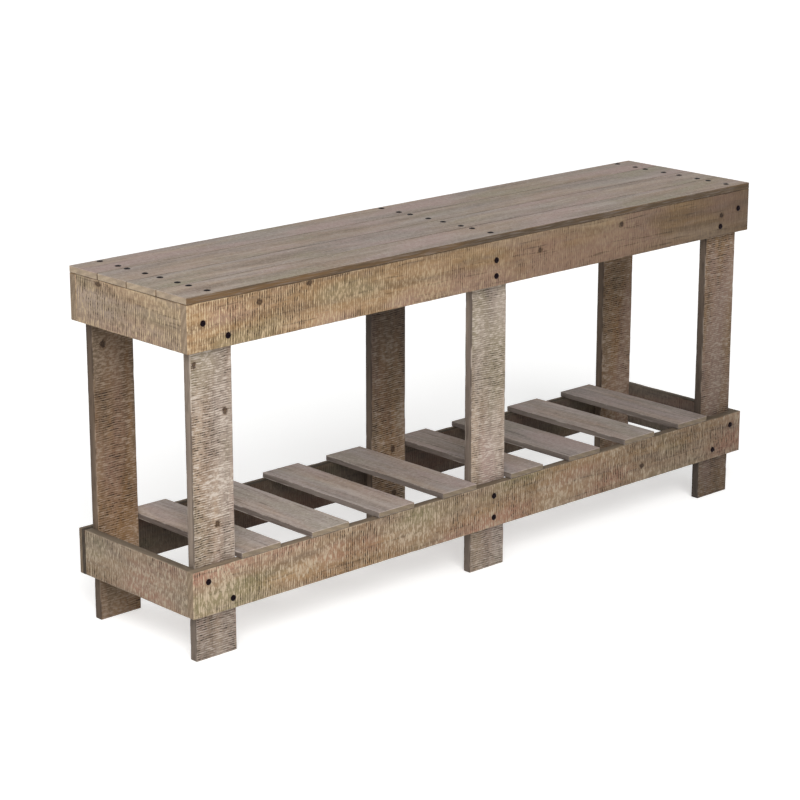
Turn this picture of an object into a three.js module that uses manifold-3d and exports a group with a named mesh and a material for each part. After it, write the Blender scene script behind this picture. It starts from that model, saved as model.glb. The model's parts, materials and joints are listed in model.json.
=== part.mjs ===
// Entryway bench with a slatted shoe shelf, built from rough-sawn boards and screws.
// Millimetres, +Z up. The origin is on the floor under the middle of the bench, +X runs along it
// and its front faces -Y.

import * as THREE from 'three';
import { mergeVertices } from 'three/addons/utils/BufferGeometryUtils.js';
import Module from 'manifold-3d';

const wasm = await Module();
wasm.setup();

// Overall size, over the faces of the boards
const length = 1219;
const depth = 277;
const height = 551;

// Boards
const frameThickness = 14.6;  // aprons, lower rails and legs
const apronHeight = 72;
const railHeight = 72;
const railClearance = 73;  // from the floor to the underside of the lower rails
const legWidth = 75.6;
const topThickness = 10;
const topBoardCount = 4;
const battenThickness = 14.6;  // the crosspieces under the top, one on each pair of legs
const slatThickness = 8.6;
const slatWidth = 75;
const slatsPerBay = 4;
const easedEdge = 1.2;  // the small chamfer along every long edge
const gap = 0.3;  // between boards that touch
const seam = 0.5;  // between top boards that lie side by side

// Screws
const headRadius = 4.1;
const headHeight = 2.2;
const shankRadius = 2.1;
const pointLength = 4;
const legBite = 10.4;  // how far a screw goes into its leg
const boreClearance = 0.3;
const outerMargin = 13;  // from a leg's outer edge to the nearer screw
const innerMargin = 17.5;  // from its inner edge to the other screw
const lowerMargin = 16.4;  // from the lower edge of an apron or a rail to the lower screw
const legTopMargin = 15.6;  // from the top of a leg to the upper screw of an apron
const railTopMargin = 19.6;  // from the upper edge of a rail to its upper screw
const roundSides = 12;

// Levels and faces that follow from the sizes above
const apronTop = height - topThickness - gap;
const legTop = apronTop - battenThickness - gap;
const railTop = railClearance + railHeight;
const slatBottom = railTop + gap;
const insideX = length / 2 - frameThickness - gap;
const insideY = depth / 2 - frameThickness - gap;
const apronZ = apronTop - apronHeight / 2;
const railZ = railTop - railHeight / 2;
const legCentres = [-(insideX - legWidth / 2), 0, insideX - legWidth / 2];
const places = ['left', 'middle', 'right'];
const sides = { front: -1, back: 1 };

const materials = {
  top: wood('#8f847d'),
  apron: wood('#a08a6c'),
  leg: wood('#a1917c'),
  rail: wood('#a3927b'),
  slat: wood('#8b817a'),
  batten: wood('#8c7a63'),
  screw: new THREE.MeshStandardMaterial({ color: '#1b191a', roughness: 0.45, metalness: 0.6 }),
};

const bench = new THREE.Group();

function wood(color) {
  return new THREE.MeshStandardMaterial({ color, roughness: 0.85, metalness: 0 });
}

function place(name, geometry, material, x, y, z) {
  const mesh = new THREE.Mesh(geometry, material);
  mesh.name = name;
  mesh.position.set(x, y, z);
  bench.add(mesh);
  return mesh;
}

// A rectangle with its four corners cut at 45 degrees
function easedSection(width, thickness) {
  const x = width / 2;
  const y = thickness / 2;
  const section = new THREE.Shape();
  section.moveTo(-x + easedEdge, -y);
  section.lineTo(x - easedEdge, -y);
  section.lineTo(x, -y + easedEdge);
  section.lineTo(x, y - easedEdge);
  section.lineTo(x - easedEdge, y);
  section.lineTo(-x + easedEdge, y);
  section.lineTo(-x, y - easedEdge);
  section.lineTo(-x, -y + easedEdge);
  section.closePath();
  return section;
}

// A board centred on its own origin, with its grain along one of the three axes
function board(grain, sizeX, sizeY, sizeZ) {
  const [width, thickness, run] = {
    x: [sizeZ, sizeY, sizeX],
    y: [sizeX, sizeZ, sizeY],
    z: [sizeX, sizeY, sizeZ],
  }[grain];
  const geometry = new THREE.ExtrudeGeometry(easedSection(width, thickness), {
    depth: run,
    bevelEnabled: false,
  });
  geometry.translate(0, 0, -run / 2);
  if (grain === 'x') geometry.rotateY(Math.PI / 2);
  if (grain === 'y') geometry.rotateX(-Math.PI / 2);
  return geometry;
}

function solidOf(geometry) {
  const bare = geometry.clone();
  bare.deleteAttribute('normal');
  bare.deleteAttribute('uv');
  const merged = mergeVertices(bare, 1e-4);
  return new wasm.Manifold(new wasm.Mesh({
    numProp: 3,
    vertProperties: new Float32Array(merged.attributes.position.array),
    triVerts: new Uint32Array(merged.index.array),
  }));
}

function geometryOf(solid) {
  const mesh = solid.getMesh();
  const geometry = new THREE.BufferGeometry();
  geometry.setAttribute('position', new THREE.BufferAttribute(mesh.vertProperties, 3));
  geometry.setIndex(new THREE.BufferAttribute(mesh.triVerts, 1));
  geometry.computeVertexNormals();
  return geometry;
}

// Cuts round holes along Y. Each hole has its centre and its length in the board's own frame.
function bored(geometry, holes) {
  let solid = solidOf(geometry);
  for (const hole of holes) {
    const radius = shankRadius + boreClearance;
    const drill = new THREE.CylinderGeometry(radius, radius, hole.length, roundSides);
    drill.translate(hole.x, hole.y, hole.z);
    solid = solid.subtract(solidOf(drill));
  }
  return geometryOf(solid);
}

// Two screws join a leg to the apron and two join it to the rail, for each of the legs.
// An end leg has them on a diagonal, a middle leg one above the other.
function screwsOf(legIndex) {
  const centre = legCentres[legIndex];
  const outward = Math.sign(centre);
  const outer = centre + outward * (legWidth / 2 - outerMargin);
  const inner = centre - outward * (legWidth / 2 - innerMargin);
  return [
    { level: 'apron', height: 'upper', x: outer, z: legTop - legTopMargin },
    { level: 'apron', height: 'lower', x: inner, z: apronTop - apronHeight + lowerMargin },
    { level: 'rail', height: 'upper', x: outer, z: railTop - railTopMargin },
    { level: 'rail', height: 'lower', x: inner, z: railTop - railHeight + lowerMargin },
  ];
}

// A pan-head screw along Y, with the underside of its head at the origin and its head towards +Y
function screw() {
  const reach = gap + frameThickness + gap + legBite;
  const profile = [
    new THREE.Vector2(0, -reach),
    new THREE.Vector2(shankRadius, pointLength - reach),
    new THREE.Vector2(shankRadius, 0),
    new THREE.Vector2(headRadius, 0),
    new THREE.Vector2(headRadius * 0.86, headHeight * 0.7),
    new THREE.Vector2(0, headHeight),
  ];
  return new THREE.LatheGeometry(profile, roundSides);
}

function makeTop() {
  const width = (depth - seam * (topBoardCount - 1)) / topBoardCount;
  for (let i = 0; i < topBoardCount; i++) {
    const y = -depth / 2 + width / 2 + i * (width + seam);
    place(`top_board_${i + 1}`, board('x', length, width, topThickness), materials.top,
      0, y, height - topThickness / 2);
  }
}

function makeBattens() {
  legCentres.forEach((x, i) => {
    place(`top_batten_${places[i]}`, board('y', legWidth, 2 * insideY, battenThickness),
      materials.batten, x, 0, apronTop - battenThickness / 2);
  });
}

// The long boards of the apron and of the lower frame run the full length, and carry the screws
function makeLongBoard(name, level, tall, z, side, material) {
  const holes = legCentres.flatMap((_, i) => screwsOf(i))
    .filter((fixing) => fixing.level === level)
    .map((fixing) => ({ x: fixing.x, y: 0, z: fixing.z - z, length: 2 * frameThickness }));
  const y = sides[side] * (depth - frameThickness) / 2;
  place(`${side}_${name}`, bored(board('x', length, frameThickness, tall), holes), material, 0, y, z);
}

// The end boards fit between the long ones
function makeEndBoard(name, tall, z, end, material) {
  const x = (end === 'left' ? -1 : 1) * (length - frameThickness) / 2;
  place(`${end}_${name}`, board('y', frameThickness, 2 * insideY, tall), material, x, 0, z);
}

function makeFrames() {
  for (const side of Object.keys(sides)) {
    makeLongBoard('apron', 'apron', apronHeight, apronZ, side, materials.apron);
    makeLongBoard('rail', 'rail', railHeight, railZ, side, materials.rail);
  }
  for (const end of ['left', 'right']) {
    makeEndBoard('apron', apronHeight, apronZ, end, materials.apron);
    makeEndBoard('rail', railHeight, railZ, end, materials.rail);
  }
}

function makeLegs() {
  for (const [side, sign] of Object.entries(sides)) {
    const y = sign * (insideY - frameThickness / 2);
    legCentres.forEach((x, i) => {
      // A blind hole starts well outside the leg's face and ends just past the screw's point
      const holeLength = 2 * (legBite + boreClearance);
      const holes = screwsOf(i).map((fixing) => ({
        x: fixing.x - x,
        y: sign * frameThickness / 2,
        z: fixing.z - legTop / 2,
        length: holeLength,
      }));
      place(`${side}_leg_${places[i]}`, bored(board('z', legWidth, frameThickness, legTop), holes),
        materials.leg, x, y, legTop / 2);
    });
  }
}

// The slats of a bay are spread evenly, from one leg to the next, and cross both rails
function makeSlats() {
  for (let bay = 0; bay < legCentres.length - 1; bay++) {
    const start = legCentres[bay] + legWidth / 2 + gap;
    const end = legCentres[bay + 1] - legWidth / 2 - gap;
    const pitch = (end - start - slatWidth) / (slatsPerBay - 1);
    for (let i = 0; i < slatsPerBay; i++) {
      place(`shelf_slat_${bay * slatsPerBay + i + 1}`, board('y', slatWidth, depth, slatThickness),
        materials.slat, start + slatWidth / 2 + i * pitch, 0, slatBottom + slatThickness / 2);
    }
  }
}

function makeScrews() {
  for (const [side, sign] of Object.entries(sides)) {
    places.forEach((where, i) => {
      for (const fixing of screwsOf(i)) {
        const name = `${side}_${fixing.level}_screw_${where}_${fixing.height}`;
        const mesh = place(name, screw(), materials.screw, fixing.x, sign * (depth / 2 + gap), fixing.z);
        if (sign < 0) mesh.rotation.x = Math.PI;
      }
    });
  }
}

makeTop();
makeBattens();
makeFrames();
makeLegs();
makeSlats();
makeScrews();

export default bench;
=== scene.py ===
import json
import math
from typing import NamedTuple

import bpy
import numpy as np
from mathutils import Matrix, Vector


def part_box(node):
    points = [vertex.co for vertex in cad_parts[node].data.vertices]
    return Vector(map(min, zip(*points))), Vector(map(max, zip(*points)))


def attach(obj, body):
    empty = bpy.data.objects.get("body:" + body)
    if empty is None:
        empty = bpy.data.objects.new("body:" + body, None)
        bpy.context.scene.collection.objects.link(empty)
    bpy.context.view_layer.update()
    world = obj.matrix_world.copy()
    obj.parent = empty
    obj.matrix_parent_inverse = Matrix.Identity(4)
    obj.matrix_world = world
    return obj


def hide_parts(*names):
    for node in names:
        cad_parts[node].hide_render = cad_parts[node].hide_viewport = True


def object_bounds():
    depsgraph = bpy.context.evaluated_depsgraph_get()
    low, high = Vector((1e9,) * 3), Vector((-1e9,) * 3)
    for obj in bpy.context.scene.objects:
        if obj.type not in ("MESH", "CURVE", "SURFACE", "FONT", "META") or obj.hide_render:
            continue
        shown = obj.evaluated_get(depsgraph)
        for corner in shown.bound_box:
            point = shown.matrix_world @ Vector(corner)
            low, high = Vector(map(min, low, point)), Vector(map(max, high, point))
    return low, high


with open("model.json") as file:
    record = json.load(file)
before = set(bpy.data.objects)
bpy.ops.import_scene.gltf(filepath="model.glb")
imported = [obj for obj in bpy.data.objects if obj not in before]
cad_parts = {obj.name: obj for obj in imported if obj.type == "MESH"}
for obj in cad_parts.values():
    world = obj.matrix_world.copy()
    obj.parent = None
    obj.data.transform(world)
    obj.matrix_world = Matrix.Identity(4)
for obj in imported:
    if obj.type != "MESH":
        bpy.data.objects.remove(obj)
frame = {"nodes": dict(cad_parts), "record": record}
cad_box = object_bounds()

MM = 0.001

# Boards
ARRIS = 0.7 * MM            # the usual rounding of a sawn board's long edges
PLANED_ARRIS = 0.6 * ARRIS
ARRIS_ROW = 2.6 * MM        # how far from an edge the first row of points lies
FACE_ROWS = 8               # rows of points between those two rows on a wide face
SPLINTER = 3 * MM           # how much wider the rounding can be where a splinter has gone
SPLINTER_SPACING = 22 * MM
WANDER = 0.3 * MM           # how far a face may stray into its board
SAW_DEPTH = 0.45 * MM
SAW_WAVER = 1.1 * MM        # how far a saw mark strays along the board
SAW_SLANT = 0.03            # the most that it strays along the board for each metre across it
SAW_PITCH = {"apron_wood": 4.4 * MM, "rail_wood": 4.4 * MM, "leg_wood": 3.6 * MM, "batten_wood": 4.4 * MM}
PLANED_STEP = 5 * MM        # from one ring of points to the next on a smooth board
RING_JITTER = 0.18          # how far a ring of points may be out of place, as a share of that step
END_ROUND = 0.7 * MM

# Screws
HEAD_RADIUS = 4.6 * MM
HEAD_HEIGHT = 2.2 * MM
SHANK_RADIUS = 2.1 * MM
POINT_LENGTH = 4 * MM
POINT_RADIUS = 0.2 * MM
SCREW_SIDES = 48
HEAD_RINGS = (0.12, 0.2, 0.28, 0.36, 0.44, 0.52, 0.6, 0.7, 0.8, 0.88, 0.94, 0.98, 1.0)
RECESS_ARM = 0.13           # half the width of the cross recess, as a share of the head's radius
RECESS_REACH = 0.56         # how far it reaches from the middle
TOP_HEAD_RADIUS = 5 * MM
TOP_HEAD_RISE = 1.2 * MM    # the screws in the top are driven nearly flush
TOP_HEAD_SINK = 0.2 * MM
TOP_SCREW_REACH = 20 * MM
TOP_SCREW_SPACING = 42 * MM
TOP_SCREW_SHIFTS = (3 * MM, 0, 7 * MM, 4 * MM)  # how far each board's pairs sit behind its middle
TOP_SCREW_WOBBLE = 1 * MM
LEFT_ROW = 50 * MM          # from the left end of the top to its row of screws
MIDDLE_ROW = 3.5 * MM       # from the middle of the top, to the right
RIGHT_ROW = 40 * MM         # from the right end

# Stage, in metres and degrees. Azimuth 0 is in front of the bench and 90 at its right end.
FLOOR_PROFILE = ((36.0, 0.0), (39.0, 0.6), (40.0, 2.0), (40.3, 7.0))  # distance from the bench, and height
FLOOR_SIDES = 64
FLOOR_DROP = 0.3 * MM       # how far the floor lies below the feet
CAMERA_AZIMUTH = -42.9
CAMERA_ELEVATION = 16.1
CAMERA_DISTANCE = 4.06
CAMERA_LENS = 113
CAMERA_SENSOR = 36
CAMERA_AIM = Vector((-0.044, 0.034, -0.019))  # from the middle of the bench


# ---------------------------------------------------------------- shapes

WIDE, NARROW, END = 0, 1, 2  # the kinds of face, as the materials read them
LONG_EDGES = ((1, -1), (1, 1), (-1, 1), (-1, -1))  # the signs of their places across and through the board


class SectionPoint(NamedTuple):
    """A point of a board's section, which is drawn with its edges still sharp."""
    across: float
    through: float
    kind: int      # the kind of face that follows it
    edge: tuple    # the long edge that it rounds, or None
    inward: tuple  # how far it moves across and through, as shares of the rounding


class Lie(NamedTuple):
    """Where a board is, and how it lies."""
    centre: Vector
    size: tuple   # length, width and thickness
    turn: Matrix  # from the board's length, width and thickness to the axes of the frame


def smooth_noise(seed, u, v=0.0):
    """Smooth random values from -1 to 1, with about one swing for each unit of u and of v."""
    table = np.random.default_rng(seed).uniform(-1, 1, 4096)
    u, v = np.broadcast_arrays(np.asarray(u, float), np.asarray(v, float))
    cell_u, cell_v = np.floor(u).astype(int), np.floor(v).astype(int)
    part_u, part_v = u - cell_u, v - cell_v
    part_u, part_v = part_u ** 2 * (3 - 2 * part_u), part_v ** 2 * (3 - 2 * part_v)

    def at(a, b):
        return table[(a * 73 + b * 157) % len(table)]

    near = at(cell_u, cell_v) * (1 - part_u) + at(cell_u + 1, cell_v) * part_u
    far = at(cell_u, cell_v + 1) * (1 - part_u) + at(cell_u + 1, cell_v + 1) * part_u
    return near * (1 - part_v) + far * part_v


def lie_of(node):
    low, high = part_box(node)
    size = high - low
    order = sorted(range(3), key=lambda i: -size[i])
    turn = Matrix.Identity(3)
    for column, axis in enumerate(order):
        turn.col[column] = [1.0 if i == axis else 0.0 for i in range(3)]
    if turn.determinant() < 0:
        turn.col[2] = -turn.col[2]
    return Lie((low + high) / 2, tuple(size[i] for i in order), turn)


def section(width, thickness):
    """The points round a board's section, in order."""
    w, t = width / 2, thickness / 2
    across = np.linspace(-w + ARRIS_ROW, w - ARRIS_ROW, FACE_ROWS + 2)
    through = [-t / 3, t / 3]
    rounding = [(1, 0), (0.29, 0.29), (0, 1)]

    def wide(side, rows):
        return [SectionPoint(row, side * t, WIDE, None, (0, 0)) for row in rows]

    def narrow(side, rows):
        return [SectionPoint(side * w, row, NARROW, None, (0, 0)) for row in rows]

    def corner(side, face, from_wide):
        kinds = [WIDE, NARROW, NARROW] if from_wide else [NARROW, WIDE, WIDE]
        steps = rounding if from_wide else rounding[::-1]
        return [SectionPoint(side * w, face * t, kind, (side, face), (-side * a, -face * b))
                for (a, b), kind in zip(steps, kinds)]

    return [
        *wide(-1, across), *corner(1, -1, True),
        *narrow(1, through), *corner(1, 1, False),
        *wide(1, across[::-1]), *corner(-1, 1, True),
        *narrow(-1, through[::-1]), *corner(-1, -1, False),
    ]


def stations(length, seed, pitch):
    """Places along a board, and for each whether it is at the bottom of a saw mark. A planed board has a
    pitch of None."""
    step = pitch / 2 if pitch else PLANED_STEP
    count = 2 * round((length - 4 * END_ROUND) / step / 2)
    inner = np.linspace(-length / 2 + 2 * END_ROUND, length / 2 - 2 * END_ROUND, count + 1)
    jitter = np.random.default_rng(seed).uniform(-RING_JITTER, RING_JITTER, count + 1) * step
    jitter[[0, -1]] = 0
    ends = [-length / 2, -length / 2 + END_ROUND]
    places = np.concatenate([ends, inner + jitter, [-e for e in ends[::-1]]])
    low = np.concatenate([[0, 0], np.arange(count + 1) % 2, [0, 0]])
    return places, low


def round_edges(points, places, w, t, seed, pitch):
    """Moves the points of the long edges inwards, and returns how worn each point of the board is. Each
    edge has its own rounding, which grows where a splinter has gone."""
    splinter = SPLINTER if pitch else SPLINTER / 3
    usual = ARRIS if pitch else PLANED_ARRIS
    wear = np.zeros_like(w)
    for k, edge in enumerate(LONG_EDGES):
        chip = np.clip(smooth_noise(seed * 7 + k, places / SPLINTER_SPACING) - 0.6, 0, 1) * splinter
        radius = usual * (1 + 0.3 * smooth_noise(seed * 5 + k, places / (9 * MM))) + chip
        radius = np.minimum(radius, ARRIS_ROW * 0.95)
        for i, point in enumerate(points):
            if point.edge == edge:
                w[:, i] += point.inward[0] * radius
                t[:, i] += point.inward[1] * radius
                wear[:, i] = 1
    return wear


def stray(lie, places, along, w, t, seed):
    """The same points, with the narrow faces and the wide faces strayed inwards."""
    width, thickness = lie.size[1:]
    for sign in (1, -1):
        bow = (smooth_noise(seed * 11 + sign, places / (110 * MM)) + 1) / 2
        bow += (smooth_noise(seed * 13 + sign, places / (17 * MM)) + 1) / 4
        w = np.where(sign * w > width * 0.4, w - sign * bow[:, None] * WANDER * 0.8, w)
        lift = (smooth_noise(seed * 17 + sign, along / (90 * MM), w / (35 * MM)) + 1) / 2
        t = np.where(sign * t > thickness * 0.4, t - sign * lift * WANDER * 0.35, t)
    return w, t


def saw_marks(points, low, along, w, seed):
    """How deep each point lies in a saw mark, from 0 to 1, and how far its face is cut away. Every second
    ring of points is low, by an amount that changes along and across the board."""
    on_wide = np.array([[point.kind == WIDE and point.edge is None for point in points]])
    number = np.arange(len(low))[:, None]
    patch = np.clip(0.68 + 0.65 * smooth_noise(seed * 19, along / (70 * MM), w / (40 * MM)), 0.1, 1)
    stroke = np.clip(0.7 + 0.6 * smooth_noise(seed * 23, number * 0.43, w / (9 * MM)), 0.1, 1)
    groove = low[:, None] * patch * stroke
    groove = np.where(on_wide, groove, groove * 0.4)
    ridge = (1 - low[:, None]) * 0.2 * (1 + smooth_noise(seed * 29, number * 0.7, w / (9 * MM)))
    return groove, np.where(on_wide, groove + ridge, 0) * SAW_DEPTH


def slanted(length, along, w, seed):
    """The same places along the board, with the saw marks slanting and wavering between square ends."""
    fade = 1 - np.clip(np.abs(along) / (length / 2), 0, 1) ** 12
    waver = smooth_noise(seed * 31, along / (30 * MM), w / (16 * MM)) * SAW_WAVER
    return along + (SAW_SLANT * math.sin(seed * 1.7) * w + waver) * fade


def plank(name, node, seed, pitch):
    """A board in the box of its CAD node: rounded and chipped edges, faces that stray a little, and the
    relief of the saw's marks across the grain where it is sawn. No point lies outside the box."""
    lie = lie_of(node)
    length, width, thickness = lie.size
    places, low = stations(length, seed, pitch)
    points = section(width, thickness)
    n, m = len(points), len(places)
    along = np.repeat(places[:, None], n, 1)
    w = np.repeat([[point.across for point in points]], m, 0)
    t = np.repeat([[point.through for point in points]], m, 0)

    wear = round_edges(points, places, w, t, seed, pitch)
    w, t = stray(lie, places, along, w, t, seed)
    groove = np.zeros_like(w)
    if pitch:
        groove, depth = saw_marks(points, low, along, w, seed)
        t = t - np.sign(t) * depth
        along = slanted(length, along, w, seed)

    # The ends are cut square, with their edges just broken
    for row in (0, -1):
        w[row] *= 1 - 2 * END_ROUND / width
        t[row] *= 1 - 2 * END_ROUND / thickness
        wear[row] = 1

    grain = np.stack([along.ravel(), w.ravel(), t.ravel()], 1)
    corners = grain @ np.array(lie.turn).T + np.array(lie.centre)
    grain[:, 2] *= sum(lie.turn.col[2])
    ring = np.arange(n)
    first = np.arange(m - 1)[:, None] * n
    a, b = first + ring, first + (ring + 1) % n
    quads = np.stack([a, b, b + n, a + n], -1).reshape(-1, 4)
    faces = [*quads[:, ::-1].tolist(), list(range(n)), list(range((m - 1) * n, m * n))[::-1]]
    kinds = [*np.tile([point.kind for point in points], m - 1).tolist(), END, END]

    mesh = bpy.data.meshes.new(name)
    mesh.from_pydata(corners.tolist(), [], faces)
    if signed_volume(mesh) < 0:
        mesh.flip_normals()
    store(mesh, "grain", "FLOAT_VECTOR", "POINT", grain)
    store(mesh, "groove", "FLOAT", "POINT", groove)
    store(mesh, "wear", "FLOAT", "POINT", wear)
    store(mesh, "cut", "FLOAT", "FACE", np.array(kinds, float))
    mesh.polygons.foreach_set("use_smooth", [kind != END for kind in kinds])
    mesh.update()
    return mesh


def signed_volume(mesh):
    """Six times the volume inside the mesh, and negative if its faces point inwards."""
    mesh.calc_loop_triangles()
    corners = np.zeros(len(mesh.loop_triangles) * 3, int)
    mesh.loop_triangles.foreach_get("vertices", corners)
    co = np.zeros(len(mesh.vertices) * 3)
    mesh.vertices.foreach_get("co", co)
    a, b, c = co.reshape(-1, 3)[corners].reshape(-1, 3, 3).transpose(1, 0, 2)
    return float(np.einsum("ij,ij->i", a, np.cross(b, c)).sum())


def store(mesh, name, kind, domain, values):
    attribute = mesh.attributes.new(name, kind, domain)
    attribute.data.foreach_set("vector" if kind == "FLOAT_VECTOR" else "value", values.ravel())


def screw_rings(radius, rise, reach):
    """The rings of points of a screw, from the middle of its head down to its point."""
    turns = np.linspace(0, 2 * math.pi, SCREW_SIDES, endpoint=False)
    rings = []
    for share in HEAD_RINGS:
        r = share * radius
        dome = rise * math.sqrt(max(0.0, 1 - (share * 0.96) ** 2.4))
        x, y = r * np.cos(turns), r * np.sin(turns)
        in_arm = np.minimum(np.abs(x), np.abs(y)) < RECESS_ARM * radius
        in_recess = in_arm & (np.maximum(np.abs(x), np.abs(y)) < RECESS_REACH * radius)
        z = np.where(in_recess, dome - 0.55 * rise * (1.25 - share), dome)
        rings.append(np.stack([x, y, z], 1))
    point = POINT_LENGTH - reach
    for r, z in ((radius, 0.0), (SHANK_RADIUS, 0.0), (SHANK_RADIUS, point), (POINT_RADIUS, -reach)):
        rings.append(np.stack([r * np.cos(turns), r * np.sin(turns), np.full(SCREW_SIDES, z)], 1))
    return rings


def screw_mesh(name, radius, rise, reach):
    """A pan-head screw along Z with its head's underside at 0: a domed head with a cross recess, and a
    pointed shank that goes down by reach."""
    rings = screw_rings(radius, rise, reach)
    corners = np.concatenate([*rings, [[0, 0, 0.35 * rise], [0, 0, -reach]]])
    top, tip, last = len(corners) - 2, len(corners) - 1, (len(rings) - 1) * SCREW_SIDES
    faces = []
    for start in range(0, last, SCREW_SIDES):
        below = start + SCREW_SIDES
        for i in range(SCREW_SIDES):
            j = (i + 1) % SCREW_SIDES
            faces.append((start + i, below + i, below + j, start + j))
    for i in range(SCREW_SIDES):
        j = (i + 1) % SCREW_SIDES
        faces.append((top, i, j))
        faces.append((tip, last + j, last + i))
    mesh = bpy.data.meshes.new(name)
    mesh.from_pydata(corners.tolist(), [], faces)
    mesh.polygons.foreach_set("use_smooth", [True] * len(faces))
    mesh.update()
    return mesh


# ---------------------------------------------------------------- what differs from board to board

KNOT_NUMBERS = range(1, 6)  # a board has at most five knots of its own

# The numbers that each board has of its own. Its length runs from left to right, front to back or up.
OWN_NUMBERS = {
    "tone": 1.0,      # how light it is
    "fade": 0.0,      # how much its tone grows with each metre of its length
    "warmth": 0.3,    # from grey, 0, to tan, 1
    "drift": 0.0,     # how much its warmth grows with each metre
    "red": 0.0,       # how much redder it is
    "ribs": 1.0,      # how strongly its saw marks show
    "rib_fade": 0.0,  # how much more they show with each metre
    "knots": 0.04,    # the share of places that have a knot
    "foot": 0.0,      # how much darker it is near its start
    "inner": 0.0,     # painted shade: how much darker its back or right face is, or its front or left face if negative
    "half": 0.0,      # half its length
    "shift": 0.0,     # where its pattern starts
    # Knots of its own: how far each is from the board's middle, along it and across it. All are far beyond
    # its end until dress() places them.
    **{f"knot_{i}": 9.0 for i in KNOT_NUMBERS},
    **{f"rise_{i}": 0.0 for i in KNOT_NUMBERS},
}
TONE_SPREAD = 0.04
BOARD_KNOTS = {
    "front_apron": ((-478 * MM, 19 * MM), (-383 * MM, 32 * MM), (98 * MM, 6 * MM), (287 * MM, 20 * MM),
                    (539 * MM, -1 * MM)),
    "front_leg_left": ((184 * MM, -31 * MM), (107 * MM, 24 * MM), (-60 * MM, 6 * MM)),
}
TOP_WARMTHS = (0.35, 0.25, 0.3, 0.3)  # from the front
# Painted light and shade, in part: each slat's tone follows the light and shadow that fall on it, as well
# as its own tone
SLAT_TONES_AND_SHADE = (1.24, 1.3, 1.1, 1.0, 0.94, 0.86, 0.93, 0.82)  # from left to right
BOARD_LOOKS = {
    "front_apron": {"warmth": 0.95, "drift": -0.4, "tone": 0.52, "fade": -0.42, "red": 0.035,
                    "ribs": 0.8, "rib_fade": -0.9, "knots": 0.0},
    "left_apron": {"warmth": 0.4, "tone": 0.68, "red": 0.02, "ribs": 1.2},
    "back_apron": {"warmth": 0.7, "tone": 0.66, "red": 0.03},
    "right_apron": {"warmth": 0.5, "tone": 0.68, "red": 0.02},
    "front_rail": {"warmth": 0.7, "tone": 0.52, "fade": -0.25, "red": 0.045},
    "left_rail": {"warmth": 0.6, "tone": 0.5, "red": 0.02},
    # Painted shade: the back and right rails are dark, the right one greyer, and "inner" darkens their
    # faces towards the inside of the bench, which the slats and the top shade
    "back_rail": {"warmth": 0.5, "tone": 0.45, "inner": -0.7, "red": 0.05, "ribs": 0.5},
    "right_rail": {"warmth": -0.3, "tone": 0.5, "inner": -0.45, "ribs": 0.4},
    "front_leg_left": {"warmth": 0.18, "tone": 0.77, "foot": 0.27, "red": 0.01, "knots": 0.0},
    "front_leg_middle": {"warmth": 0.1, "tone": 0.76, "foot": 0.22, "ribs": 0.8},
    "front_leg_right": {"warmth": 1.2, "tone": 0.33, "fade": 0.5, "red": 0.07, "ribs": 0.9},
    # Painted shade: the back legs are dark, and the left and middle ones grow darker towards their upper
    # ends, for the shadow of the top and the front apron
    "back_leg_left": {"warmth": 0.7, "tone": 0.37, "fade": -0.62, "red": 0.16, "foot": 0.5},
    "back_leg_middle": {"warmth": 0.6, "tone": 0.31, "fade": -1.1, "red": 0.09, "foot": 0.35, "ribs": 1.4},
    "back_leg_right": {"warmth": 0.8, "tone": 0.35, "red": 0.13, "foot": 0.2},
    **{f"top_board_{i}": {"warmth": warmth, "knots": 0.0} for i, warmth in enumerate(TOP_WARMTHS, 1)},
    # Painted shade, in part: each slat grows a little darker towards its back end, under the top
    **{f"shelf_slat_{i}": {"warmth": 0.2, "tone": tone, "fade": -0.2, "knots": 0.0}
       for i, tone in enumerate(SLAT_TONES_AND_SHADE, 1)},
}


# ---------------------------------------------------------------- looks of the kinds of board

class Look(NamedTuple):
    """The colours of one kind of board."""
    cool: tuple     # dark, middle and light, where the stain has gone grey
    warm: tuple     # dark, middle and light, where the wood shows through
    tints: tuple    # a pinkish and an olive tint that come and go
    edge: tuple     # dark and light, on the narrow faces
    end: tuple      # dark and light, on the end grain
    groove: str     # the stain that stays in saw marks, cracks and pits
    ridge: str      # where the stain is rubbed off
    ribs: float     # how strongly the saw marks show
    specks: float   # how strongly pits and rubbed spots show
    grit: tuple     # how many of those there are in a metre, along, across and through the board
    blots: float    # how strongly darker and lighter blots show
    cracks: float   # how strongly fine dark lines along the grain show
    corners: tuple  # how strongly corners are rubbed pale, and how strongly they are stained


KNOT = "#311d10"
GREY = ("#857a73", "#968b83", "#a59a92")
SLAT_GREY = ("#7f746e", "#948984", "#a59a94")
TAN = ("#7d6750", "#957b62", "#ab937b")
SAWN_COOL = ("#8a7b6f", "#9b8b7f", "#ab9c90")
SAWN_WARM = ("#836849", "#9c7d59", "#b1926d")
SAWN_END = ("#7b6a57", "#a3917b")
SCRATCHED = (420, 170, 170)
FINELY_SCRATCHED = (560, 260, 260)
PITTED = (230, 420, 420)

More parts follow.
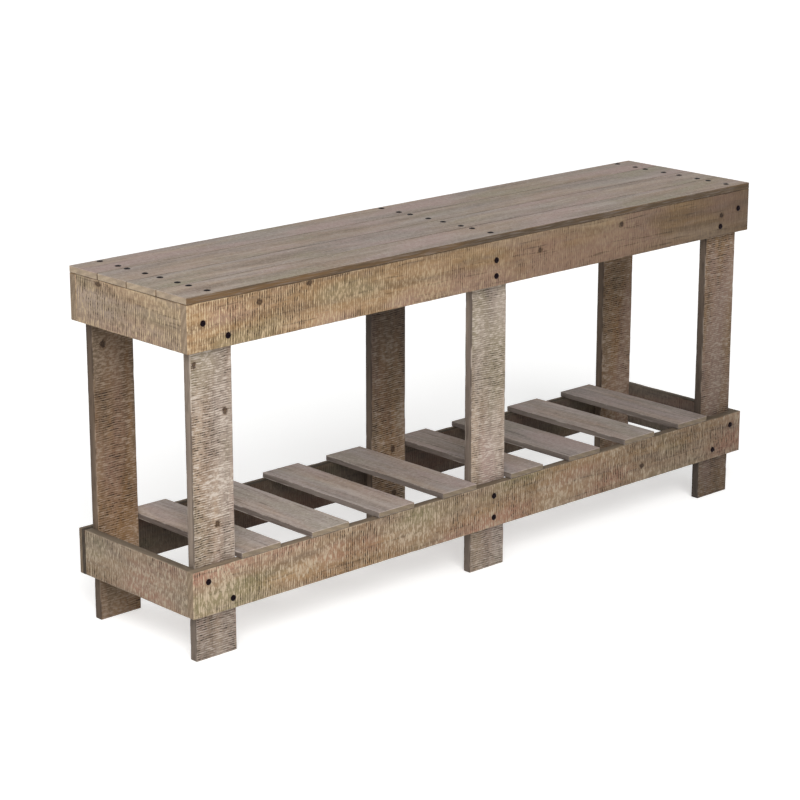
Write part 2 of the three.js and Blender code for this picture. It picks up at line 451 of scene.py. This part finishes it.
APRON = Look(
    cool=SAWN_COOL, warm=SAWN_WARM, tints=("#a58573", "#86795a"), edge=("#735e43", "#927755"), end=SAWN_END,
    groove="#463322", ridge="#cbb594", ribs=0.8, specks=0.3, grit=SCRATCHED, blots=0.2, cracks=0.6,
    corners=(0.3, 0.4),
)
RAIL = Look(
    cool=SAWN_COOL, warm=SAWN_WARM, tints=("#b0806c", "#8b8560"), edge=("#8a7b68", "#a3937f"), end=SAWN_END,
    groove="#382a1f", ridge="#cdbca4", ribs=1.0, specks=0.5, grit=SCRATCHED, blots=0.2, cracks=0.45,
    corners=(0.4, 0.3),
)
LEG = Look(
    cool=SAWN_COOL, warm=SAWN_WARM, tints=("#a68c82", "#90846c"), edge=("#71645a", "#8a7c6f"), end=SAWN_END,
    groove="#352a21", ridge="#cdc0b3", ribs=1.0, specks=0.45, grit=FINELY_SCRATCHED, blots=0.12,
    cracks=0.2, corners=(0.4, 0.5),
)
TOP = Look(
    cool=GREY, warm=TAN, tints=("#a68f89", "#908873"), edge=("#433524", "#634b30"),
    end=("#8a7a66", "#a5937d"), groove="#5d5148", ridge="#c2b7ac", ribs=0.2, specks=0.6, grit=PITTED,
    blots=0.4, cracks=0.25, corners=(0.1, 0.45),
)
SLAT = Look(
    cool=SLAT_GREY, warm=TAN, tints=("#9f8d88", "#8c8478"), edge=("#544a44", "#6f655e"),
    end=("#64584a", "#7b6d59"), groove="#554a42", ridge="#c4bab1", ribs=0.2, specks=0.4, grit=PITTED,
    blots=0.3, cracks=0.7, corners=(0.4, 0.3),
)
SLOT_LOOKS = {
    "top_wood": TOP,
    "apron_wood": APRON,
    "rail_wood": RAIL,
    "leg_wood": LEG,
    "slat_wood": SLAT,
    "batten_wood": RAIL,
}


# ---------------------------------------------------------------- materials

def rgb(code):
    """A colour as seen on a screen, such as "#8a7b6c", in the linear values that shaders take."""
    parts = [int(code[i:i + 2], 16) / 255 for i in (1, 3, 5)]
    return [c / 12.92 if c <= 0.04045 else ((c + 0.055) / 1.055) ** 2.4 for c in parts] + [1.0]


class Nodes:
    """Short names for the shader nodes that the materials below are made of."""

    def __init__(self, name):
        self.material = bpy.data.materials.new(name)
        self.material.use_nodes = True
        self.tree = self.material.node_tree
        self.shader = self.tree.nodes["Principled BSDF"]

    def put(self, socket, value):
        if isinstance(value, bpy.types.NodeSocket):
            self.tree.links.new(value, socket)
        elif isinstance(value, str):
            socket.default_value = rgb(value)
        elif socket.type == "VECTOR" and isinstance(value, float):
            socket.default_value = (value, value, value)
        else:
            socket.default_value = value

    def shade(self, socket, value):
        self.put(self.shader.inputs[socket], value)

    def node(self, kind, out=0, settings=None, **inputs):
        """Makes a node and returns one of its outputs. Inputs go by name, or by _ and a number."""
        made = self.tree.nodes.new(kind)
        for key, value in (settings or {}).items():
            setattr(made, key, value)
        for key, value in inputs.items():
            self.put(made.inputs[int(key[1:]) if key[0] == "_" else key], value)
        return made.outputs[out]

    def attribute(self, name, vector=False, own=False):
        settings = {"attribute_name": name, "attribute_type": "OBJECT" if own else "GEOMETRY"}
        return self.node("ShaderNodeAttribute", "Vector" if vector else "Fac", settings)

    def math(self, what, a, b=0.0, clamp=False):
        return self.node("ShaderNodeMath", 0, {"operation": what, "use_clamp": clamp}, _0=a, _1=b)

    def vector(self, what, a, b):
        return self.node("ShaderNodeVectorMath", 0, {"operation": what}, _0=a, _1=b)

    def length(self, vector):
        return self.node("ShaderNodeVectorMath", 1, {"operation": "LENGTH"}, _0=vector)

    def scaled(self, vector, x, y, z, shift=0.0):
        return self.vector("ADD", self.vector("MULTIPLY", vector, (x, y, z)), shift)

    def noise(self, vector, detail=3.0, roughness=0.55, distortion=0.0):
        return self.node("ShaderNodeTexNoise", 0, None, Vector=vector, Scale=1.0, Detail=detail,
                         Roughness=roughness, Distortion=distortion)

    def band(self, value, low, high, to_low=0.0, to_high=1.0):
        return self.node("ShaderNodeMapRange", 0, {"interpolation_type": "SMOOTHSTEP"}, Value=value,
                         _1=low, _2=high, _3=to_low, _4=to_high)

    def mix(self, share, a, b, how="MIX"):
        settings = {"data_type": "RGBA", "blend_type": how, "clamp_factor": True}
        return self.node("ShaderNodeMix", 2, settings, _0=share, _6=a, _7=b)

    def ramp(self, value, *stops):
        made = self.tree.nodes.new("ShaderNodeValToRGB")
        elements = made.color_ramp.elements
        while len(elements) < len(stops):
            elements.new(1.0)
        for element, (place, colour) in zip(elements, stops):
            element.position = place
            element.color = rgb(colour)
        self.put(made.inputs[0], value)
        return made.outputs[0]

    def bump(self, height, distance, strength=1.0):
        return self.node("ShaderNodeBump", 0, None, Height=height, Distance=distance, Strength=strength)


class WeatheredWood(Nodes):
    """Stained and worn softwood. Its pattern follows the board's own length, width and thickness, which
    the mesh holds. What differs from board to board is in the board's own numbers: see dress()."""

    def __init__(self, name, look):
        super().__init__(name)
        self.look = look
        self.place = self.attribute("grain", vector=True)
        self.groove = self.attribute("groove")
        self.wear = self.attribute("wear")
        self.cut = self.attribute("cut")
        self.own = {key: self.attribute(key, own=True) for key in OWN_NUMBERS}
        self.along = self.node("ShaderNodeSeparateXYZ", 0, None, _0=self.place)
        self.through = self.node("ShaderNodeSeparateXYZ", 2, None, _0=self.place)
        self.make_patterns()

        face = self.knotted(self.pitted(self.saw_marked(self.stained_face())))
        colour = self.mix(self.band(self.cut, 0.25, 0.75), face, self.narrow_face())
        colour = self.mix(self.band(self.cut, 1.25, 1.75), colour, self.end_grain())
        self.shade("Base Color", self.toned(self.rubbed(colour)))
        self.shade("Roughness", self.band(self.streak, 0.35, 0.65, 0.74, 0.88))
        self.shade("Specular IOR Level", 0.3)
        self.shade("Normal", self.bump(self.relief(), 0.5 * MM, 0.6))

    def grown(self, base, slope):
        """A number of the board's own that grows along the board."""
        return self.math("ADD", self.own[base], self.math("MULTIPLY", self.along, self.own[slope]))

    def spots(self, x, y, z, detail, roughness=0.55, distortion=0.0, apart=0.0):
        """Noise with about so many swings in a metre along, across and through the board. Two patterns that
        should not match lie apart."""
        shift = self.math("ADD", self.own["shift"], apart) if apart else self.own["shift"]
        return self.noise(self.scaled(self.place, x, y, z, shift), detail, roughness, distortion)

    def make_patterns(self):
        """The patterns that the features below are made of."""
        bend = self.math("MULTIPLY", self.spots(6, 14, 14, 2.0), 1.8)
        bend = self.node("ShaderNodeCombineXYZ", 0, None, Y=bend)
        streak_place = self.vector("ADD", self.scaled(self.place, 2.4, 62, 62, self.own["shift"]), bend)
        crack_place = self.vector("ADD", self.scaled(self.place, 9, 210, 210, self.own["shift"]), bend)
        self.streak = self.noise(streak_place, 6.0, 0.62)
        self.crack = self.noise(crack_place, 3.0, 0.6)
        self.fibre = self.spots(26, 620, 620, 3.0, 0.6)
        self.patches = self.spots(3.2, 17, 17, 3.0, 0.55, 0.4)
        self.cloud = self.spots(5, 15, 15, 2.0, 0.5, apart=31.0)
        self.blotch = self.spots(20, 75, 75, 4.0, 0.6)
        self.dash = self.spots(190, 170, 170, 2.0, 0.6)
        self.rub = self.spots(260, 110, 110, 2.0, 0.6, apart=17.0)
        self.grit = self.spots(*self.look.grit, 3.0, 0.65)
        self.ribs = self.math("MULTIPLY", self.grown("ribs", "rib_fade"), self.look.ribs, clamp=True)

    def stained_face(self):
        """Long streaks of the grain, in grey and tan patches with tints, fine dark lines and blots."""
        look = self.look
        cool, warm = (self.ramp(self.streak, (0.36, dark), (0.50, middle), (0.64, light))
                      for dark, middle, light in (look.cool, look.warm))
        patches = self.band(self.patches, 0.34, 0.66, -0.3, 0.3)
        warmth = self.math("ADD", self.grown("warmth", "drift"), patches, clamp=True)
        face = self.mix(warmth, cool, warm)
        face = self.mix(self.band(self.cloud, 0.5, 0.7, 0.0, 0.8), face, look.tints[0])
        face = self.mix(self.band(self.cloud, 0.5, 0.3, 0.0, 0.8), face, look.tints[1])
        face = self.mix(self.band(self.fibre, 0.54, 0.7, 0.0, 0.3), face, look.cool[0])
        face = self.mix(self.band(self.crack, 0.59, 0.68, 0.0, look.cracks), face, look.groove)
        face = self.mix(self.band(self.blotch, 0.5, 0.72, 0.0, look.blots), face, look.cool[0])
        return self.mix(self.band(self.blotch, 0.5, 0.28, 0.0, look.blots), face, look.cool[2])

    def saw_marked(self, face):
        """The stain stays in the grooves, and is rubbed off the ridges between them."""
        in_groove = self.band(self.groove, 0.25, 0.75)
        on_ridge = self.band(self.groove, 0.35, 0.05)
        dark = self.math("MULTIPLY", in_groove, self.band(self.dash, 0.4, 0.6, 0.08, 1.0))
        bright = self.math("MULTIPLY", on_ridge, self.band(self.rub, 0.4, 0.64, 0.1, 1.0))
        face = self.mix(self.math("MULTIPLY", dark, self.ribs), face, self.look.groove)
        return self.mix(self.math("MULTIPLY", bright, self.ribs), face, self.look.ridge)

    def pitted(self, face):
        """Pits and rubbed spots."""
        face = self.mix(self.band(self.grit, 0.58, 0.7, 0.0, self.look.specks), face, self.look.groove)
        return self.mix(self.band(self.grit, 0.42, 0.3, 0.0, self.look.specks), face, self.look.ridge)

    def knotted(self, face):
        """A few small knots with a dark rim, some anywhere and some where the board's own numbers say."""
        cell = self.tree.nodes.new("ShaderNodeTexVoronoi")
        cell.voronoi_dimensions = "2D"
        self.put(cell.inputs["Vector"], self.scaled(self.place, 13, 17, 0, self.own["shift"]))
        self.put(cell.inputs["Scale"], 1.0)
        chance = self.node("ShaderNodeSeparateColor", 0, None, Color=cell.outputs["Color"])
        here = self.math("GREATER_THAN", chance, self.math("SUBTRACT", 1.0, self.own["knots"]))
        far = self.node("ShaderNodeMapRange", 0, None, Value=here, _3=9.0, _4=0.0)
        knot = self.math("ADD", cell.outputs["Distance"], far)
        for i in KNOT_NUMBERS:
            x, y = self.own[f"knot_{i}"], self.own[f"rise_{i}"]
            spot = self.node("ShaderNodeCombineXYZ", 0, None, X=x, Y=y)
            gap = self.vector("MULTIPLY", self.vector("SUBTRACT", self.place, spot), (16, 19, 0))
            knot = self.math("MINIMUM", knot, self.length(gap))
        knot = self.math("ADD", knot, self.band(self.grit, 0.3, 0.7, -0.03, 0.03))
        face = self.mix(self.band(knot, 0.16, 0.05, 0.0, 0.45), face, self.look.warm[0])
        face = self.mix(self.band(knot, 0.1, 0.055, 0.0, 0.85), face, KNOT)
        return self.mix(self.band(knot, 0.04, 0.015, 0.0, 0.3), face, self.look.warm[0])

    def narrow_face(self):
        edge = self.mix(self.band(self.streak, 0.38, 0.62), *self.look.edge)
        edge = self.mix(self.band(self.fibre, 0.48, 0.7, 0.0, 0.35), edge, self.look.cool[0])
        return self.mix(self.band(self.blotch, 0.5, 0.7, 0.0, 0.4), edge, self.look.groove)

    def end_grain(self):
        """Year rings, with pores and stained patches."""
        year = self.length(self.scaled(self.place, 0, 420, 1100, self.own["shift"]))
        end = self.mix(self.band(self.math("SINE", year), -0.6, 0.9, 0.3, 0.75), *self.look.end)
        pores = self.spots(700, 700, 700, 2.0, 0.6)
        end = self.mix(self.band(pores, 0.5, 0.7, 0.0, 0.4), end, self.look.groove)
        return self.mix(self.band(self.patches, 0.5, 0.62, 0.0, 0.3), end, self.look.groove)

    def rubbed(self, colour):
        """Corners are rubbed pale in places and stained in others."""
        most_pale, most_stained = self.look.corners
        corner = self.math("MULTIPLY", self.band(self.wear, 0.25, 1.0), self.band(self.cut, 1.75, 1.25))
        pale = self.math("MULTIPLY", corner, self.band(self.blotch, 0.5, 0.62, 0.0, most_pale))
        stained = self.math("MULTIPLY", corner, self.band(self.blotch, 0.56, 0.42, 0.0, most_stained))
        return self.mix(stained, self.mix(pale, colour, self.look.ridge), self.look.groove)

    def toned(self, colour):
        """The whole board is lighter or darker, changes along its length, and is darker near its start."""
        from_start = self.math("ADD", self.along, self.own["half"])
        foot = self.math("MULTIPLY", self.band(from_start, 0.14, 0.05), self.own["foot"])
        tone = self.math("MULTIPLY", self.grown("tone", "fade"), self.math("SUBTRACT", 1.0, foot))
        # Painted shade: the face on one side of the board's thickness is made darker, for the shade inside
        # the bench
        inner = self.math("MULTIPLY", self.math("SIGN", self.through), self.own["inner"])
        tone = self.math("MULTIPLY", tone, self.math("SUBTRACT", 1.0, inner, clamp=True))
        redder = self.math("MULTIPLY", tone, self.math("ADD", 1.0, self.own["red"]))
        less_blue = self.math("MULTIPLY", tone, self.math("SUBTRACT", 1.0, self.own["red"]))
        tint = self.node("ShaderNodeCombineXYZ", 0, None, X=redder, Y=tone, Z=less_blue)
        return self.mix(1.0, colour, tint, "MULTIPLY")

    def relief(self):
        """The small heights that the mesh doesn't have."""
        height = self.math("MULTIPLY", self.fibre, 0.35)
        height = self.math("ADD", height, self.math("MULTIPLY", self.streak, 0.3))
        height = self.math("ADD", height, self.math("MULTIPLY", self.grit, 0.5))
        dashes = self.math("MULTIPLY", self.math("MULTIPLY", self.dash, self.ribs), 1.2)
        return self.math("SUBTRACT", height, dashes)


def black_screw():
    n = Nodes("screw_black")
    place = n.node("ShaderNodeTexCoord", "Object")
    scuff = n.noise(n.scaled(place, 900, 900, 900), 3.0, 0.6)
    n.shade("Base Color", n.ramp(scuff, (0.4, "#090507"), (0.7, "#1a1115")))
    n.shade("Roughness", n.band(scuff, 0.3, 0.7, 0.32, 0.5))
    n.shade("Specular IOR Level", 0.12)
    n.shade("Specular Tint", "#b090a0")
    n.shade("Normal", n.bump(scuff, 0.05 * MM, 0.4))
    return n.material


def pale_floor():
    n = Nodes("floor")
    n.shade("Base Color", "#e9e9e8")
    n.shade("Roughness", 0.9)
    n.shade("Specular IOR Level", 0.1)
    n.shade("Emission Color", "#ffffff")
    n.shade("Emission Strength", 0.45)
    return n.material


# ---------------------------------------------------------------- pieces

def add_object(name, data):
    made = bpy.data.objects.new(name, data)
    bpy.context.scene.collection.objects.link(made)
    return made


def dress(piece, seed, look, knots):
    """Gives a board its own numbers, which its finish reads by name."""
    numbers = {**OWN_NUMBERS, **look, "shift": seed * 3.7}
    numbers["tone"] *= 1 + TONE_SPREAD * math.sin(seed * 12.9)
    for i, spot in enumerate(knots, start=1):
        numbers[f"knot_{i}"], numbers[f"rise_{i}"] = spot
    for key, value in numbers.items():
        piece[key] = float(value)


def make_boards():
    finishes = {slot: WeatheredWood(slot, look).material for slot, look in SLOT_LOOKS.items()}
    slots = {part["node"]: part["material_slot"] for part in frame["record"]["subparts"]}
    names = [name for name in sorted(frame["nodes"]) if "screw" not in name]
    for seed, name in enumerate(names, start=3):
        slot = slots[name]
        mesh = plank(f"{name}_wood", name, seed, SAW_PITCH.get(slot))
        mesh.materials.append(finishes[slot])
        piece = add_object(f"{name}_wood", mesh)
        look = {**BOARD_LOOKS.get(name, {}), "half": lie_of(name).size[0] / 2}
        dress(piece, seed, look, BOARD_KNOTS.get(name, ()))
        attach(piece, "root")
        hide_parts(name)


def put_screw(name, mesh, place, axis):
    piece = add_object(name, mesh)
    turn = Vector(axis).to_track_quat("Z", "Y").to_matrix().to_4x4()
    spin = Matrix.Rotation(sum(map(ord, name)) * 0.37, 4, "Z")
    piece.matrix_world = Matrix.Translation(place) @ turn @ spin
    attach(piece, "root")
    return piece


def make_side_screws(finish):
    """The screws of the two long faces, which stand for their CAD nodes."""
    names = [name for name in sorted(frame["nodes"]) if "screw" in name]
    low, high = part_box(names[0])
    mesh = screw_mesh("side_screw", HEAD_RADIUS, HEAD_HEIGHT, high.y - low.y - HEAD_HEIGHT)
    mesh.materials.append(finish)
    for name in names:
        low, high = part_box(name)
        outward = -1 if name.startswith("front") else 1
        y = low.y + HEAD_HEIGHT if outward < 0 else high.y - HEAD_HEIGHT
        place = Vector(((low.x + high.x) / 2, y, (low.z + high.z) / 2))
        piece = put_screw(f"{name}_black", mesh, place, (0, outward, 0))
        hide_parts(name)


def make_top_screws(finish):
    """Three rows of screws in the top, with two in each board. They have no CAD nodes."""
    mesh = screw_mesh("top_screw", TOP_HEAD_RADIUS, TOP_HEAD_RISE, TOP_SCREW_REACH)
    mesh.materials.append(finish)
    random = np.random.default_rng(5)
    for board, shift in enumerate(TOP_SCREW_SHIFTS, start=1):
        low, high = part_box(f"top_board_{board}")
        rows = {
            "left": low.x + LEFT_ROW,
            "middle": (low.x + high.x) / 2 + MIDDLE_ROW,
            "right": high.x - RIGHT_ROW,
        }
        for where, x in rows.items():
            for side in (-1, 1):
                y = (low.y + high.y + side * TOP_SCREW_SPACING) / 2 + shift
                dx, dy = random.uniform(-TOP_SCREW_WOBBLE, TOP_SCREW_WOBBLE, 2)
                number = 2 * board - (side < 0)
                place = Vector((x + dx, y + dy, high.z - TOP_HEAD_SINK))
                put_screw(f"top_screw_{where}_{number}", mesh, place, (0, 0, 1))


# ---------------------------------------------------------------- stage, light, camera

def make_floor():
    """A plain pale floor, which turns up far away to be the backdrop on every side."""
    turns = np.linspace(0, 2 * math.pi, FLOOR_SIDES, endpoint=False)
    corners = [(radius * math.cos(turn), radius * math.sin(turn), height)
               for radius, height in FLOOR_PROFILE for turn in turns]
    faces = [tuple(range(FLOOR_SIDES))]
    for ring in range(len(FLOOR_PROFILE) - 1):
        inner, outer = ring * FLOOR_SIDES, (ring + 1) * FLOOR_SIDES
        for i in range(FLOOR_SIDES):
            j = (i + 1) % FLOOR_SIDES
            faces.append((inner + j, inner + i, outer + i, outer + j))
    mesh = bpy.data.meshes.new("floor")
    mesh.from_pydata(corners, [], faces)
    mesh.materials.append(pale_floor())
    floor = add_object("floor", mesh)
    floor.location.z = cad_box[0].z - FLOOR_DROP


def aim(thing, azimuth, elevation, distance, aside=Vector((0, 0, 0))):
    """Places a light or the camera so that it looks at the middle of the bench, or at a point beside it."""
    a, e = math.radians(azimuth), math.radians(elevation)
    back = Vector((math.sin(a) * math.cos(e), -math.cos(a) * math.cos(e), math.sin(e)))
    thing.location = (cad_box[0] + cad_box[1]) / 2 + aside + back * distance
    thing.rotation_mode = "QUATERNION"
    thing.rotation_quaternion = back.to_track_quat("Z", "Y")


def make_key_light():
    data = bpy.data.lights.new("key", "SUN")
    data.angle = math.radians(30)
    data.energy = 1.92
    aim(add_object("key", data), azimuth=-34, elevation=35, distance=3)


def make_side_light():
    data = bpy.data.lights.new("side", "AREA")
    data.size = 1.2
    data.energy = 13
    aim(add_object("side", data), azimuth=-62, elevation=30, distance=2.4)


def make_world():
    """An even light from all sides."""
    world = bpy.data.worlds.new("studio")
    world.use_nodes = True
    background = world.node_tree.nodes["Background"]
    background.inputs["Color"].default_value = (1, 1, 1, 1)
    background.inputs["Strength"].default_value = 0.42
    bpy.context.scene.world = world


def make_camera():
    """The bench seen from the front left and a little above."""
    data = bpy.data.cameras.new("camera")
    data.sensor_width = CAMERA_SENSOR
    data.lens = CAMERA_LENS
    camera = add_object("camera", data)
    aim(camera, CAMERA_AZIMUTH, CAMERA_ELEVATION, CAMERA_DISTANCE, CAMERA_AIM)
    bpy.context.scene.camera = camera


make_camera()
make_boards()
screw_finish = black_screw()
make_side_screws(screw_finish)
make_top_screws(screw_finish)
make_floor()
make_key_light()
make_side_light()
make_world()
bpy.context.scene.view_settings.view_transform = "Standard"
